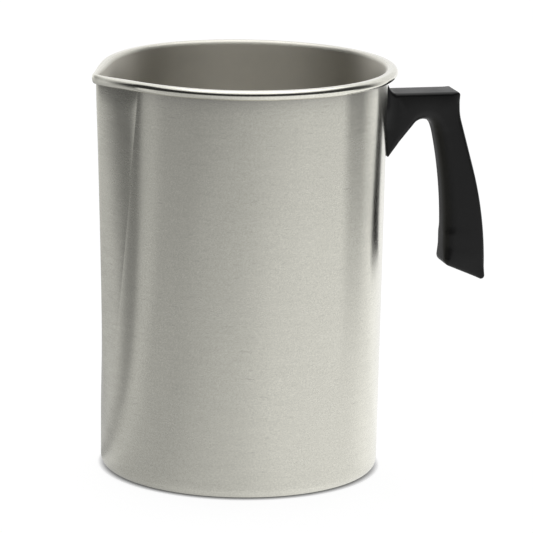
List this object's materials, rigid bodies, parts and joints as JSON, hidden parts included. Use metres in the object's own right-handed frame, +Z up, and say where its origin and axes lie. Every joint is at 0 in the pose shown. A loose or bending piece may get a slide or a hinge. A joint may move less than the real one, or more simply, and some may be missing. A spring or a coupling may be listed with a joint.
{
  "type": "wax melting pot",
  "caption": "Tall drawn aluminium pouring pot with a folded spout and rolled rim, and a moulded black side handle, for melting and pouring wax.",
  "frame": {"origin": "middle of the underside of the flat base, on the pot's axis", "axes": "+Z up along the pot's axis, +X towards the handle, -X towards the spout"},
  "size_m": [0.1903, 0.1416, 0.19],
  "materials": {
    "pot_aluminium": "fine horizontal brushing, satin",
    "bracket_steel": "zinc plated",
    "rivet_aluminium": "pressed, plain",
    "handle_phenolic": "moulded, satin",
    "screw_steel": "zinc plated",
    "washer_steel": "plain spring steel"
  },
  "bodies": {
    "root": {"pot_body": "pot_aluminium", "handle_bracket": "bracket_steel", "bracket_rivets": "rivet_aluminium", "handle": "handle_phenolic", "handle_screw": "screw_steel", "spring_washer": "washer_steel"}
  },
  "joints": []
}
